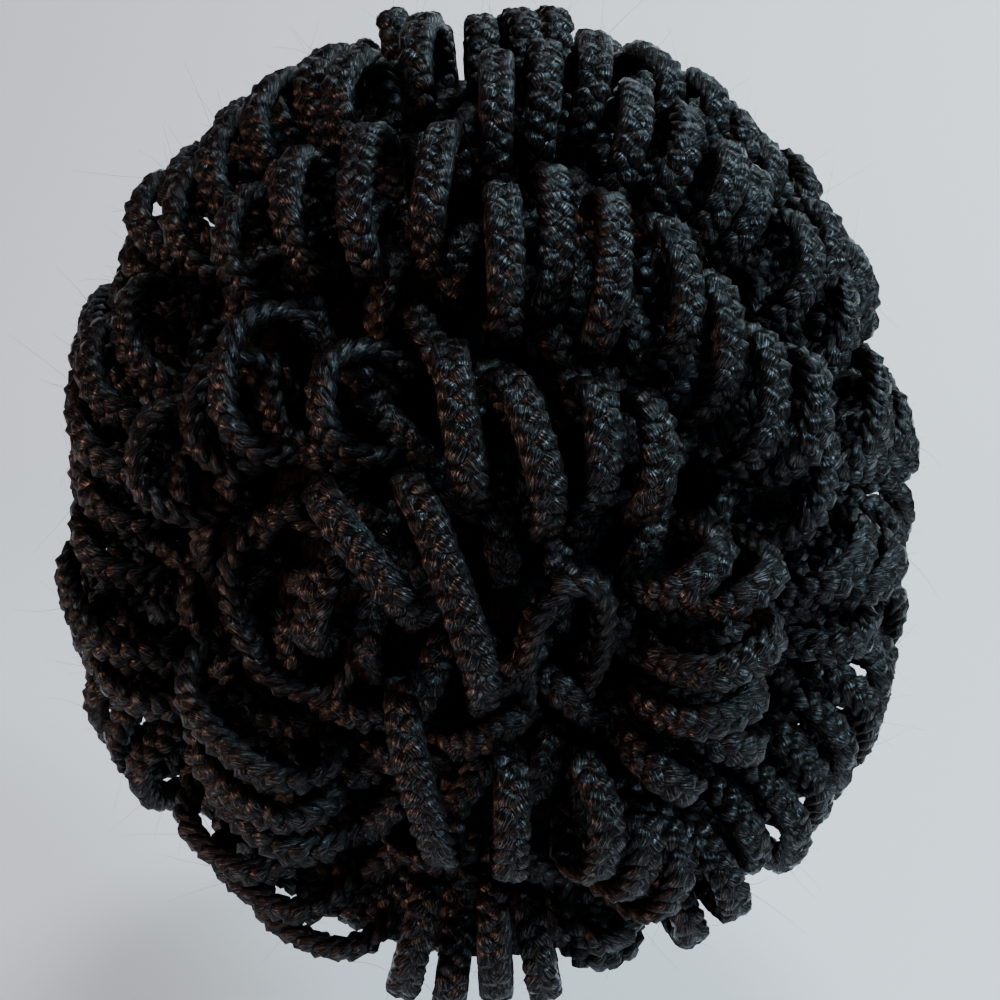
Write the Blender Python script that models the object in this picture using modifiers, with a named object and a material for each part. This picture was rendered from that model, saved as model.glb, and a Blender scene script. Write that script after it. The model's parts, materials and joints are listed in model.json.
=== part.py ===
"""Braid wig: a soft cap covered all over in short standing loops of three-strand braid.

Units are metres, +Z is up. The wearer faces +Y, so the back of the wig faces -Y.
The origin is the inside of the crown, where the wig sits on the head.
A place on the cap is a point u of the unit sphere, stretched to the head's size. In the tables
it is given by azimuth (0 at the middle of the back, positive towards +X) and by polar angle
(0 at the crown), both in degrees.
"""
from collections import namedtuple
import math

import bmesh
import bpy
import numpy as np

# The head that the cap fits, and the cap's wall
HEAD_HALF_WIDTH = 0.077
HEAD_HALF_DEPTH = 0.097
CROWN_RISE = 0.093
NAPE_DROP = 0.098
CAP_WALL = 0.002

# The edge of the cap, as polar angles
EDGE_AT_NAPE = 148.0
EDGE_AT_EARS = 108.0
EDGE_AT_FOREHEAD = 60.0

# The flat braid and its loops
BRAID_WIDTH = 0.0084
BRAID_THICKNESS = 0.0050
LOOP_HEIGHT = 0.0215
LOOP_LENGTH = 0.0270
LOOP_SPACING = 0.0006
SEAT_GAP = 0.0003
LOOPS_IN_A_BRAID = 8

# How much narrower the braid is pinched where it is sewn down, its gap over the cap there, which
# a stitch between two feet needs to clear the cap's curve, and the height of its centre line
PINCHED = 0.75
FOOT_GAP = 0.0006
SEAT_RISE = 0.36 * PINCHED * BRAID_WIDTH + FOOT_GAP

# How much the heights of the loops differ, as a share
HEIGHT_SPREAD = 0.12

# How far inside the cap's edge a loop's foot stays
EDGE_MARGIN = 0.6 * BRAID_WIDTH

# How near another loop's point a bare place may lie
BARE_REACH = 0.7 * BRAID_WIDTH

# What a loop tries in turn to find room: its length, steps aside and slides along, as shares
LENGTH_TRIES = (0.85, 1.0, 1.15, 1.3)
PLACED_LENGTH_TRIES = (0.8, 0.9, 1.0)
SHORT_LENGTH_TRIES = (0.50, 0.60, 0.75)
SIDE_TRIES = (1.0, 1.1, 1.25, 1.4)
SLIDE_TRIES = (0.0, 0.15, -0.15, 0.3, -0.3)
NUDGES = tuple(
    (along, aside)
    for aside in (0.0, 0.4, -0.4, 0.8, -0.8)
    for along in (0.0, 0.5, -0.5, 1.0, -1.0)
)
NO_NUDGES = ((0.0, 0.0),)
SEEDS_TRIED = 2400

# Whorls: crests run out from the first one and circle round the second. Heights above a whorl
# are shares of half the head's depth.
STAR_WHORL = {"azimuth": 5.0, "polar": 97.0, "upright_above": 0.46}
RING_WHORL = {"azimuth": -21.0, "polar": 90.0, "full_reach": 26.0, "far_reach": 44.0,
              "up_reach": 0.31, "fade": 1.6}

# Deep places that no loop fills, with the radius as a share of a braid's width
HOLLOWS = (
    {"azimuth": -24, "polar": 93, "radius": 1.1},
    {"azimuth": 1, "polar": 98, "radius": 0.6},
)

# The row of loops that follows the cap's edge, all round it, in degrees
HAIRLINE = {"from_azimuth": -66.0, "to_azimuth": 294.0, "step": 1.0}

# One arch from foot to foot: place along it as a share of half its length, then its height and
# the braid's fullness as shares
ARCH = (
    {"along": -0.62, "up": 0.00, "full": PINCHED},
    {"along": -1.00, "up": 0.52, "full": 0.92},
    {"along": -0.52, "up": 1.00, "full": 1.00},
    {"along": 0.52, "up": 1.00, "full": 1.00},
    {"along": 1.00, "up": 0.52, "full": 0.92},
    {"along": 0.62, "up": 0.00, "full": PINCHED},
)
ARCH_ALONG = np.array([[row["along"]] for row in ARCH])
ARCH_UP = np.array([[row["up"]] for row in ARCH])
ARCH_FULL = np.array([[row["full"]] for row in ARCH])

# Braids placed by eye. Turn is the angle of the crests from the line down the cap and fan is how
# much each next loop turns, both in degrees; side is the step to the next loop in braid widths;
# slide, length and height are shares of a loop's own; lean tips the loops sideways, in degrees;
# bow bends the crests sideways, as a share of their length.
Placed = namedtuple("Placed", "azimuth polar turn fan loops side slide length height lean bow")
PLACED_BRAIDS = (
    Placed(-3, 70, 10, 0, 1, 1.0, 0.0, 0.97, 1.00, 0, 0.0),
    Placed(-11, 67, 5, 0, 1, 1.0, 0.0, 0.75, 0.90, -50, 0.0),
    Placed(-26, 66, 8, 3, 3, -1.3, 0.03, 1.00, 1.00, -32, 0.0),
    Placed(-5, 87, 18, 0, 1, 1.0, 0.0, 1.50, 1.00, 0, 0.12),
    Placed(-10, 84, 40, 0, 1, 1.0, 0.0, 1.28, 1.00, 0, 0.12),
    Placed(-24, 90, 22, 0, 1, 1.0, 0.0, 1.32, 1.10, -75, 0.0),
    Placed(6, 103, 88, 0, 1, 1.0, 0.0, 0.50, 1.60, 74, 0.0),
    Placed(4, 73, 13, 0, 1, 1.0, 0.0, 1.10, 1.00, 0, 0.08),
    Placed(12, 75, -3, 0, 2, 1.1, 0.08, 0.75, 0.95, 0, 0.0),
    Placed(16, 86, -53, -7, 4, 1.2, 0.05, 0.75, 1.00, 0, 0.10),
    Placed(-25, 101, 54, 0, 3, -1.2, 0.0, 1.20, 1.00, 0, -0.08),
    Placed(-8, 107, 9, 0, 1, 1.0, 0.0, 1.30, 1.00, 0, 0.08),
    Placed(12, 108, 0, -4, 3, 1.1, 0.20, 0.85, 0.95, 0, 0.15),
    Placed(0, 112, 0, 0, 2, 1.1, 0.30, 0.80, 0.95, 0, 0.0),
    Placed(-29, 51, 24, -1, 3, 1.7, 0.0, 1.10, 1.00, 0, 0.0),
    Placed(-1, 55, 0, -1, 3, 1.0, 0.10, 1.00, 1.00, 0, 0.0),
    Placed(19, 58, -9, -2, 5, 1.05, 0.20, 0.95, 1.00, 0, 0.0),
    Placed(-3, 30, -2, -1, 7, 1.1, 0.10, 1.05, 1.00, 0, 0.0),
    Placed(-36, 30, 26, 1, 5, -1.1, 0.0, 1.00, 1.00, 0, 0.0),
    Placed(-38, 56, 14, 2, 4, -1.1, -0.10, 0.90, 1.00, 0, 0.0),
    Placed(-40, 120, 66, 0, 3, -1.1, 0.0, 1.00, 1.00, 0, 0.0),
)

# How the rest of the cap is filled, pass by pass: the least number of loops in a new braid, the
# lengths tried, how far the crests turn off their usual direction, in degrees, and the height as
# a share of a loop's own
Filling = namedtuple("Filling", "least tries turn height")
FILLING_PASSES = (
    Filling(3, LENGTH_TRIES, 0, 1.0),
    Filling(2, SHORT_LENGTH_TRIES, 0, 0.9),
    Filling(2, SHORT_LENGTH_TRIES, 60, 0.8),
    Filling(1, SHORT_LENGTH_TRIES, -60, 0.8),
)
MOST_BRAIDS = 58

UPPER_HALF = np.array([HEAD_HALF_WIDTH, HEAD_HALF_DEPTH, CROWN_RISE])
LOWER_HALF = np.array([HEAD_HALF_WIDTH, HEAD_HALF_DEPTH, NAPE_DROP])
HEAD_CENTRE = np.array([0.0, 0.0, -CROWN_RISE])

# How finely the cap is faceted: rows of faces round it, and rows over a whole ball of its shape
CAP_SEGMENTS = 40
CAP_RINGS = 28
HALF_A_RING = math.sin(math.pi / CAP_RINGS / 2)

# A length too short to matter, which keeps a direction from vanishing
TINY = 1e-9


def unit(vector):
    """The same direction with length one."""
    return vector / np.sqrt((vector * vector).sum(axis=-1, keepdims=True))


def sphere_point(azimuth, polar):
    """The point of the unit sphere at two angles in degrees."""
    a, p = math.radians(azimuth), math.radians(polar)
    return np.array([math.sin(p) * math.sin(a), -math.sin(p) * math.cos(a), math.cos(p)])


def half_axes(u, grow=CAP_WALL):
    """Half axes of the cap on the side of the widest level where u lies, by default outside."""
    return np.where(u[..., 2:3] > 0, UPPER_HALF, LOWER_HALF) + grow


def cap_point(u, grow=CAP_WALL):
    """The real place of u on the cap."""
    return HEAD_CENTRE + u * half_axes(u, grow)


def cap_normal(u):
    """The outward direction of the cap at u."""
    return unit(u / half_axes(u))


def move_over_cap(u, tangent, distance):
    """Moves u over the cap by a real distance in a real direction."""
    return unit(u + tangent * distance / half_axes(u))


def flattened(direction, normal):
    """A direction laid onto the cap."""
    return unit(direction - normal * (direction @ normal))


def edge_polar(azimuth):
    """Polar angle of the cap's edge at an azimuth in degrees."""
    middle = (EDGE_AT_NAPE + EDGE_AT_FOREHEAD) / 2
    level = (middle + EDGE_AT_EARS) / 2
    swing = (EDGE_AT_NAPE - EDGE_AT_FOREHEAD) / 2
    a = math.radians(azimuth)
    return level + swing * math.cos(a) + (middle - level) * math.cos(2 * a)


def distance_inside_edge(u):
    """How far u lies inside the cap's edge, measured down the cap."""
    azimuth = math.degrees(math.atan2(u[0], -u[1]))
    polar = math.degrees(math.acos(max(-1.0, min(1.0, u[2]))))
    return math.radians(edge_polar(azimuth) - polar) * HEAD_HALF_DEPTH


def down_the_cap(u):
    """The direction on the cap that leads away from the crown."""
    return flattened(np.array([0.0, -TINY, -1.0]), cap_normal(u))


def turned(direction, normal, degrees):
    """A direction on the cap turned round the normal; positive takes the lower end to +X."""
    a = math.radians(degrees)
    return direction * math.cos(a) + np.cross(normal, direction) * math.sin(a)


def crest_direction(u):
    """The direction of the crests: out from the star whorl, and round the ring whorl near it."""
    normal, place, down = cap_normal(u), cap_point(u), down_the_cap(u)
    star = cap_point(sphere_point(STAR_WHORL["azimuth"], STAR_WHORL["polar"]))
    ring_u = sphere_point(RING_WHORL["azimuth"], RING_WHORL["polar"])
    ring = cap_point(ring_u)
    upright = max(0.0, min(1.0, (place - star)[2] / (STAR_WHORL["upright_above"] * HEAD_HALF_DEPTH)))
    outward = flattened(place - star + down * TINY, normal)
    outward = unit(outward - down * upright * max(0.0, -normal[1]))
    around = unit(np.cross(normal, place - ring) + outward * TINY)
    if around @ outward < 0:
        around = -around
    away = math.degrees(math.acos(max(-1.0, min(1.0, u @ ring_u))))
    reach = RING_WHORL["far_reach"] - RING_WHORL["full_reach"]
    share = max(0.0, min(1.0, (RING_WHORL["far_reach"] - away) / reach))
    above = (place - ring)[2] / (RING_WHORL["up_reach"] * HEAD_HALF_DEPTH)
    share *= max(0.0, min(1.0, RING_WHORL["fade"] - above))
    return flattened(outward * (1 - share) + around * share, normal)


def arch_points(u, direction, size, length):
    """The centre line of one loop, from foot to foot, and which way the braid is wide."""
    lean = math.radians(size["lean"])
    feet = move_over_cap(u, direction, ARCH_ALONG * length / 2)
    normals = cap_normal(feet)
    sides = unit(np.cross(normals, direction))
    rise = SEAT_RISE + ARCH_UP * size["height"] * math.cos(lean)
    aside = ARCH_UP * size["height"] * math.sin(lean) + (1 - ARCH_ALONG ** 2) * size["bow"] * length
    wide = sides * math.cos(lean) - normals * math.sin(lean)
    return np.stack([cap_point(feet) + normals * rise + sides * aside, wide])


def stitch(start, end):
    """The stretch on the cap between two loops, where the braid stands on edge."""
    points = np.array([start, end])
    return np.stack([points, cap_normal((points - HEAD_CENTRE) / half_axes(points - HEAD_CENTRE))])


def shortest_gaps(starts_a, ends_a, starts_b, ends_b):
    """The shortest way between every segment of one set and every segment of another."""
    along_a, along_b = (ends_a - starts_a)[:, None, :], (ends_b - starts_b)[None, :, :]
    between = starts_a[:, None, :] - starts_b[None, :, :]
    a = (along_a * along_a).sum(-1)
    e = (along_b * along_b).sum(-1)
    b = (along_a * along_b).sum(-1)
    c = (along_a * between).sum(-1)
    f = (along_b * between).sum(-1)
    s = np.clip((b * f - c * e) / np.maximum(a * e - b * b, TINY ** 2), 0, 1)
    t = (b * s + f) / e
    t_kept = np.clip(t, 0, 1)
    s = np.where(t == t_kept, s, np.clip((b * t_kept - c) / a, 0, 1))
    return between + along_a * s[..., None] - along_b * t_kept[..., None]


def squared_up(wide, along):
    """The width direction made square to the braid's own direction."""
    return unit(wide - along * (wide * along).sum(-1, keepdims=True))


def section_reach(way, along, wide, full):
    """How far the flat section of a braid reaches from its centre line in a direction."""
    thick = np.cross(along, wide)
    flat = np.abs((way * thick).sum(-1)) + np.abs((way * along).sum(-1))
    return full * (np.abs((way * wide).sum(-1)) * BRAID_WIDTH + flat * BRAID_THICKNESS) / 2


class Layout:
    """The loops placed so far, as line segments, so that new loops can stay clear of them."""

    def __init__(self):
        far_away = np.full((1, 3), 10.0)
        self.kept = (far_away, far_away + 1.0, np.array([[1.0, -1.0, 0.0]]), np.ones(1))

    @staticmethod
    def segments(loop):
        """The starts, ends, width directions and fullness of a loop's segments."""
        points, wide = loop
        along = unit(points[1:] - points[:-1])
        full = ARCH_FULL[:, 0] if len(points) == len(ARCH) else np.full(len(points), PINCHED)
        return points[:-1], points[1:], squared_up(wide[1:] + wide[:-1], along), (full[1:] + full[:-1]) / 2

    def crowded(self, place):
        """Whether a place on the cap has a loop's foot on it already."""
        return np.linalg.norm(self.kept[0] - place, axis=1).min() < BARE_REACH

    def clear(self, loop, joined_at=None):
        """Whether a loop keeps clear of all that is placed, but for what it is joined to."""
        starts, ends, wide, full = self.kept
        middle = loop[0].mean(axis=0)
        reach = np.linalg.norm(loop[0] - middle, axis=1).max() + BRAID_WIDTH + SEAT_GAP
        near = np.linalg.norm((starts + ends) / 2 - middle, axis=1) < reach + LOOP_LENGTH / 2
        if joined_at is not None:
            near &= np.linalg.norm(starts - joined_at, axis=1) > TINY
            near &= np.linalg.norm(ends - joined_at, axis=1) > TINY
        if not near.any():
            return True
        own_starts, own_ends, own_wide, own_full = self.segments(loop)
        starts, ends, wide, full = starts[near], ends[near], wide[near], full[near]
        gaps = shortest_gaps(own_starts, own_ends, starts, ends)
        apart = np.linalg.norm(gaps, axis=-1)
        way = gaps / np.maximum(apart, TINY)[..., None]
        own_along, along = unit(own_ends - own_starts), unit(ends - starts)
        needed = section_reach(way, own_along[:, None], own_wide[:, None], own_full[:, None])
        needed = needed + section_reach(way, along[None], wide[None], full[None])
        return (apart - needed).min() > SEAT_GAP

    def add(self, loop):
        """Keeps a loop or a stitch."""
        pairs = zip(self.kept, self.segments(loop))
        self.kept = tuple(np.concatenate(pair) for pair in pairs)


def on_the_cap(u, direction, length):
    """Whether a loop's middle and both feet lie inside the cap's edge and out of the hollows."""
    for row in HOLLOWS:
        hollow = cap_point(sphere_point(row["azimuth"], row["polar"]))
        if np.linalg.norm(cap_point(u) - hollow) < row["radius"] * BRAID_WIDTH:
            return False
    foot = ARCH[-1]["along"] * length / 2
    places = [move_over_cap(u, direction, along) for along in (0.0, foot, -foot)]
    return min(distance_inside_edge(place) for place in places) > EDGE_MARGIN


def find_loop(layout, spot, direction, size):
    """The longest loop that fits at a spot, or nothing."""
    best = None
    for share in size["tries"]:
        length = size["length"] * share
        if not on_the_cap(spot, direction, length):
            break
        loop = arch_points(spot, direction, size, length)
        if not layout.clear(loop):
            break
        best = loop
    return best


def first_loop(layout, seed, rule, size):
    """The first loop of a braid, at its seed or nudged a little way off it."""
    direction = rule(seed, None, 1)
    aside = np.cross(cap_normal(seed), direction)
    for nudge_along, nudge_aside in size["nudges"]:
        spot = move_over_cap(seed, aside, nudge_aside * BRAID_WIDTH)
        spot = move_over_cap(spot, direction, nudge_along * BRAID_WIDTH)
        heading = rule(spot, None, 1)
        found = find_loop(layout, spot, heading, size)
        if found is not None:
            return spot, heading, found
    return None


def next_loop(layout, loop, side, rule, size, end):
    """The loop beside another one, stepped aside and slid along until it and its stitch fit."""
    spot, direction, last = loop
    aside = np.cross(cap_normal(spot), direction) * side
    pitch = PINCHED * BRAID_WIDTH + LOOP_SPACING
    for stretch in SIDE_TRIES:
        for slide in SLIDE_TRIES:
            there = move_over_cap(spot, aside, pitch * stretch)
            there = move_over_cap(there, direction, (slide + size["slide"]) * size["length"])
            heading = rule(there, direction, side)
            found = find_loop(layout, there, heading, size)
            if found is None:
                continue
            if layout.clear(stitch(last[0, end], found[0, end]), joined_at=last[0, end]):
                return there, heading, found
    return None


def grow_braid(layout, seed, rule, loops, size, chance):
    """Sets loops side by side from a seed, first to one side and then to the other.

    A stitch on the cap joins each loop to the next, at alternate ends, so the braid runs to and
    fro. Returns the loops in their order along the braid.
    """
    first = first_loop(layout, seed, rule, size)
    if first is None:
        return []
    layout.add(first[2])
    placed = {0: first}
    for way in (1, -1):
        number = 0
        while len(placed) < loops:
            height = size["height"] * (1 + HEIGHT_SPREAD * (2 * chance.random() - 1))
            varied = dict(size, height=height, slide=size["slide"] * way)
            end = -1 if (number % 2 == 0) == (way == 1) else 0
            found = next_loop(layout, placed[number], size["side"] * way, rule, varied, end)
            if found is None:
                break
            layout.add(found[2])
            layout.add(stitch(placed[number][2][0, end], found[2][0, end]))
            number += way
            placed[number] = found
    return [placed[number][2][:, :: 1 if number % 2 == 0 else -1] for number in sorted(placed)]


def placed_rule(row):
    """The rule for the crests of a braid placed by eye: a first turn, then the fan."""
    def direction_at(u, before, side):
        normal = cap_normal(u)
        if before is None:
            return turned(down_the_cap(u), normal, row.turn)
        return turned(flattened(before, normal), normal, row.fan * side)
    return direction_at


def field_rule(turn):
    """The rule for the crests of the braids that fill the rest of the cap."""
    def direction_at(u, before, side):
        direction = turned(crest_direction(u), cap_normal(u), turn)
        if before is not None and before @ direction < 0:
            return -direction
        return direction
    return direction_at


def hairline_rule(u, before, side):
    """The rule for the crests along the hairline: square to the cap's edge."""
    azimuth = math.degrees(math.atan2(u[0], -u[1]))
    here = cap_point(sphere_point(azimuth, edge_polar(azimuth)))
    ahead = cap_point(sphere_point(azimuth + 1, edge_polar(azimuth + 1)))
    normal = cap_normal(u)
    return flattened(np.cross(ahead - here, normal), normal)


def spiral_seeds():
    """Evenly spread points of the cap, from the star whorl outwards."""
    star = sphere_point(STAR_WHORL["azimuth"], STAR_WHORL["polar"])
    seeds = []
    for i in range(SEEDS_TRIED):
        z = 1 - (2 * i + 1) / SEEDS_TRIED
        a = i * math.pi * (3 - math.sqrt(5))
        r = math.sqrt(1 - z * z)
        u = np.array([r * math.cos(a), r * math.sin(a), z])
        if distance_inside_edge(u) > EDGE_MARGIN:
            seeds.append(u)
    seeds.sort(key=lambda u: -(u @ star))
    return seeds


def hairline_seeds():
    """Points in a row just inside the cap's edge, all round it."""
    inset = math.degrees((ARCH[-1]["along"] * LOOP_LENGTH / 2 + BRAID_WIDTH) / HEAD_HALF_DEPTH)
    seeds = []
    azimuth = HAIRLINE["from_azimuth"]
    while azimuth < HAIRLINE["to_azimuth"]:
        seeds.append(sphere_point(azimuth, edge_polar(azimuth) - inset))
        azimuth += HAIRLINE["step"]
    return seeds


def fill(braids, layout, seeds, rule, size, chance, least):
    """Adds braids of at least so many loops wherever the cap is still bare."""
    for seed in seeds:
        if len(braids) == MOST_BRAIDS or layout.crowded(cap_point(seed)):
            continue
        before = layout.kept
        placed = grow_braid(layout, seed, rule, LOOPS_IN_A_BRAID, size, chance)
        if len(placed) < least:
            layout.kept = before
        else:
            braids.append(placed)


def directions_along(line):
    """The direction of a line at each of its points, halfway between its two neighbours."""
    along = unit(np.diff(line, axis=0))
    return unit(np.vstack([along[:1], along[:-1] + along[1:], along[-1:]]))


def braid_line(loops):
    """The centre line of a whole braid and its width directions, its feet seated on the cap."""
    line, wide = np.concatenate(loops, axis=1)
    along = directions_along(line)
    wide = squared_up(wide, along)
    for index in range(1, len(line)):
        bend = np.cross(along[index - 1], along[index])
        if (wide[index - 1] + np.cross(bend, wide[index - 1])) @ wide[index] < 0:
            wide[index] = -wide[index]
    for index in range(len(line)):
        if ARCH[index % len(ARCH)]["up"] == 0.0:
            line[index] += foot_shift(line[index], along[index], wide[index])
    return line, wide


def foot_shift(place, along, wide):
    """How a foot of a loop moves so that the rim of its section just clears the cap."""
    normal = cap_normal((place - HEAD_CENTRE) / half_axes(place - HEAD_CENTRE))
    rim_dip = abs(wide @ normal) * BRAID_WIDTH + abs(np.cross(along, wide) @ normal) * BRAID_THICKNESS
    return normal * (PINCHED * rim_dip / 2 + FOOT_GAP - SEAT_RISE)


def lay_out_braids():
    """Places every loop and returns the centre line and width directions of each braid."""
    chance = np.random.RandomState(7)
    layout = Layout()
    braids = []
    for row in PLACED_BRAIDS:
        size = {"length": row.length * LOOP_LENGTH, "height": row.height * LOOP_HEIGHT,
                "lean": row.lean, "bow": row.bow, "slide": row.slide, "side": row.side,
                "tries": PLACED_LENGTH_TRIES, "nudges": NUDGES}
        seed = sphere_point(row.azimuth, row.polar)
        braids.append(grow_braid(layout, seed, placed_rule(row), row.loops, size, chance))
    size = {"length": LOOP_LENGTH, "height": LOOP_HEIGHT, "lean": 0.0, "bow": 0.0, "slide": 0.0, "side": 1,
            "tries": LENGTH_TRIES, "nudges": NO_NUDGES}
    braids = [loops for loops in braids if loops]
    fill(braids, layout, hairline_seeds(), hairline_rule, size, chance, 3)
    seeds = spiral_seeds()
    for row in FILLING_PASSES:
        sized = dict(size, tries=row.tries, height=row.height * LOOP_HEIGHT)
        fill(braids, layout, seeds, field_rule(row.turn), sized, chance, row.least)
    return [braid_line(loops) for loops in braids]


def finish(name, colour, roughness):
    """A plain material."""
    made = bpy.data.materials.new(name)
    made.use_nodes = True
    shader = made.node_tree.nodes["Principled BSDF"]
    shader.inputs["Base Color"].default_value = (*colour, 1.0)
    shader.inputs["Roughness"].default_value = roughness
    shader.inputs["Metallic"].default_value = 0.0
    return made


def make_section():
    """The flat section that every braid is swept with."""
    outline = bpy.data.curves.new("braid_section", "CURVE")
    outline.dimensions = "2D"
    outline.fill_mode = "NONE"
    spline = outline.splines.new("POLY")
    spline.points.add(3)
    for point, (x, y) in zip(spline.points, ((1, 1), (1, -1), (-1, -1), (-1, 1))):
        point.co = (x * BRAID_WIDTH / 2, y * BRAID_THICKNESS / 2, 0.0, 1.0)
    spline.use_cyclic_u = True
    return bpy.data.objects.new("braid_section", outline)


def make_braid(name, line, wide, section, material, collection):
    """One length of braid: the flat section swept along its centre line."""
    curve = bpy.data.curves.new(name, "CURVE")
    curve.dimensions = "3D"
    curve.bevel_mode = "OBJECT"
    curve.bevel_object = section
    curve.use_fill_caps = True
    curve.twist_mode = "Z_UP"
    spline = curve.splines.new("POLY")
    spline.points.add(len(line) - 1)
    along = directions_along(line)
    level = unit(np.cross(along, np.array([0.0, 0.0, 1.0])))
    tilts = np.arctan2((np.cross(level, wide) * along).sum(-1), (level * wide).sum(-1))
    for index, point in enumerate(spline.points):
        point.co = (*line[index], 1.0)
        point.tilt = tilts[index]
        point.radius = ARCH[index % len(ARCH)]["full"]
    curve.materials.append(material)
    braid = bpy.data.objects.new(name, curve)
    collection.objects.link(braid)
    return braid


def make_cap(material, collection):
    """The hollow cap: half a sphere stretched to the head and down to the edge, with a wall."""
    shape = bmesh.new()
    bmesh.ops.create_uvsphere(shape, u_segments=CAP_SEGMENTS, v_segments=CAP_RINGS, radius=1.0)
    lower_half = [v for v in shape.verts if v.co.z < -HALF_A_RING]
    bmesh.ops.delete(shape, geom=lower_half, context="VERTS")
    for v in shape.verts:
        azimuth = math.degrees(math.atan2(v.co.x, -v.co.y))
        share = math.acos(max(-1.0, min(1.0, v.co.z))) / (math.pi / 2)
        v.co = cap_point(sphere_point(azimuth, share * edge_polar(azimuth)), 0.0)
    mesh = bpy.data.meshes.new("wig_cap")
    shape.to_mesh(mesh)
    shape.free()
    mesh.shade_smooth()
    mesh.materials.append(material)
    cap = bpy.data.objects.new("wig_cap", mesh)
    wall = cap.modifiers.new("Wall", "SOLIDIFY")
    wall.thickness = CAP_WALL
    wall.offset = 1.0
    wall.use_even_offset = True
    collection.objects.link(cap)
    return cap


def main():
    for old in list(bpy.data.objects):
        bpy.data.objects.remove(old, do_unlink=True)
    wig = bpy.data.collections.new("braid_wig")
    bpy.context.scene.collection.children.link(wig)
    make_cap(finish("cap_cloth", (0.012, 0.011, 0.013), 0.85), wig)
    hair = finish("braid_hair", (0.016, 0.014, 0.016), 0.45)
    section = make_section()
    for index, (line, wide) in enumerate(lay_out_braids(), start=1):
        make_braid(f"braid_{index:02d}", line, wide, section, hair, wig)


main()
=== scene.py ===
"""Braid wig: plaits every braid from three strands, and adds the cap cloth and the loose hairs."""

import json
import math
from collections import namedtuple

import bpy
import numpy as np
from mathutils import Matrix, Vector

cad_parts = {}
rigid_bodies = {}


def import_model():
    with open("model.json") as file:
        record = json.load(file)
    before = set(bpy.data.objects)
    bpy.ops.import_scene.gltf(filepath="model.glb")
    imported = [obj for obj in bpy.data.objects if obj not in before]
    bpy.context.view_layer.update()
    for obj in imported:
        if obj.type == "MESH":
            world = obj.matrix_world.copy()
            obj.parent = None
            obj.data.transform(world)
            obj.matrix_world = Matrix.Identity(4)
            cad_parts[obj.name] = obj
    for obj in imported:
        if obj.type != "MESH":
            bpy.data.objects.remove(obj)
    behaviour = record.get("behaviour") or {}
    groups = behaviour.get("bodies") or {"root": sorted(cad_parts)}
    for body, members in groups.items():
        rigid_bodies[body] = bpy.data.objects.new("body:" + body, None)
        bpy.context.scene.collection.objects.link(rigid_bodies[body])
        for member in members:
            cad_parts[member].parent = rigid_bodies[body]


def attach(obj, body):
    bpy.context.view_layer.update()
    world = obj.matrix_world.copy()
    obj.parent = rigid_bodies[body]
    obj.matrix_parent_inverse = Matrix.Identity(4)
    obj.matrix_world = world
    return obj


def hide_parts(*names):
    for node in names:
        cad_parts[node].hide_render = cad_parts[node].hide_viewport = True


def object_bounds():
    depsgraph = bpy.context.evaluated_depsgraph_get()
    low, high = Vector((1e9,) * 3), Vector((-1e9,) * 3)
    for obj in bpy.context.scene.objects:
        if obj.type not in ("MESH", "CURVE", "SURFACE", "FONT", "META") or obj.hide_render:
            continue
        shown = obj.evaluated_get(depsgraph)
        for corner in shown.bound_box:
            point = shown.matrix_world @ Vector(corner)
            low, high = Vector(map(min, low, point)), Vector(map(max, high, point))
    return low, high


bl_info = {
    "name": "Braid wig",
    "version": (1, 0, 0),
    "blender": (4, 5, 0),
    "location": "View3D > Sidebar > Braid wig",
    "description": "Plaits the braids of the wig and sets the stage",
    "category": "Add Mesh",
}

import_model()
CAD_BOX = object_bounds()

# How finely the strands and the loose hairs are made
STEPS_A_SPAN = 24
RINGS_A_PLAIT = 11
STRAND_SIDES = 8
LOW_RINGS_A_PLAIT = 8
LOW_STRAND_SIDES = 6
LOW_LINE_POINTS = 5
LEAST_RINGS = 8
SWELLINGS_A_STRAND = 24
HAIR_RINGS = 6
HAIR_SIDES = 3

# The strands' UV maps count in millimetres
MILLIMETRES = 1000

# How a loose hair grows, as shares: how far it lifts off the braid and spreads outwards, how far
# it bends aside and tapers, and the length of the shortest beside the longest
HAIR_LIFT = 0.5
HAIR_SPREAD = 0.7
HAIR_BEND = 0.45
HAIR_TAPER = 0.7
SHORTEST_HAIR = 0.12

# The fibres of a strand: waves in a millimetre across and along it and how they warp. The coarse,
# fine and shade layers say how much finer they are, and the height takes a share of the fine one.
FIBRE_SCALES = {"Across": 4.0, "Along": 0.90, "Warp": 0.4}
FibreLayer = namedtuple("FibreLayer", "across along detail")
FIBRE_LAYERS = (FibreLayer(1.0, 1.0, 2.0), FibreLayer(3.1, 2.3, 1.0), FibreLayer(0.06, 0.25, 1.0))
FINE_SHARE = 0.4

# Where the noise starts and stops to count as a glint, fibres painted lighter as painted glints that also
# shine more, and as a browner shade
GLINT_FROM, GLINT_TO = 0.53, 0.68
SHADE_FROM, SHADE_TO = 0.35, 0.65

# How far the shine of hair is drawn out across its fibres
STRETCHED_SHINE = 0.85

# The numbers of a Mix node's colour inputs and colour output
MIX_LOW, MIX_HIGH, MIX_RESULT = 6, 7, 2

# How far the threads and fibres of the materials stand up
RELIEF = 0.0004

# The floor with its backdrop: its side and place, the wall's height and the fold between them
FLOOR_SIDE = 3.0
FLOOR_SET_BACK = 0.2
WALL_HEIGHT = 2.4
FOLD_RADIUS = 0.9
FOLD_STEPS = 16

# The centre line of a braid with the directions along and across it, how full it is and the
# distance walked
Path = namedtuple("Path", "line along wide full places")

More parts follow.
